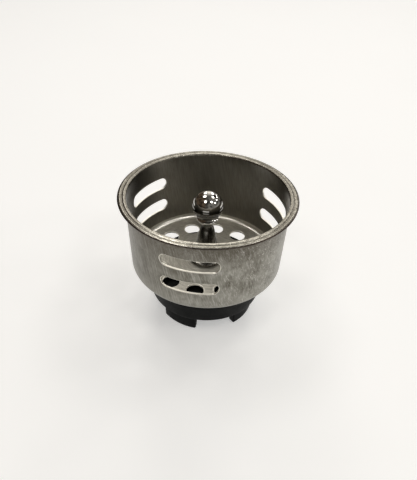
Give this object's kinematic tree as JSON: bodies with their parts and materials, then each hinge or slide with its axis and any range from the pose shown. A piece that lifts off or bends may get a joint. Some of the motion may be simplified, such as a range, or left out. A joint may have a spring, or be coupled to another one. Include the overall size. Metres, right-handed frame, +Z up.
{
  "type": "sink basket strainer",
  "caption": "Small pressed-steel basket strainer with a flat flanged lip, wall slots and floor holes, a chromed ball knob and a castellated rubber stopper beneath.",
  "frame": {"origin": "on the basket's axis, in the plane that the stopper's teeth stand on", "axes": "+Z up along the axis, from the teeth to the lip; -Y is the side that faces the viewer, on which one pair of wall slots lies at -101 degrees"},
  "size_m": [0.0426, 0.0426, 0.0325],
  "materials": {
    "basket_steel": "satin, circumferential brushing, brighter lip",
    "knob_chrome": "mirror chrome plate",
    "stopper_rubber": "matte to satin moulded black rubber",
    "washer_steel": "punched steel sheet",
    "spring_steel": "dull spring steel",
    "screw_steel": "bright rolled screw steel"
  },
  "bodies": {
    "basket": {"strainer_basket": "basket_steel"},
    "knob_unit": {"ball_knob": "knob_chrome", "rubber_stopper": "stopper_rubber", "backing_washer": "washer_steel", "spring_washer": "spring_steel", "clamp_screw": "screw_steel"}
  },
  "joints": [
    {"name": "knob_turn", "type": "hinge", "parent": "basket", "child": "knob_unit", "pos_m": [0, 0, 0.0125], "axis": [0, 0, 1], "continuous": true}
  ]
}
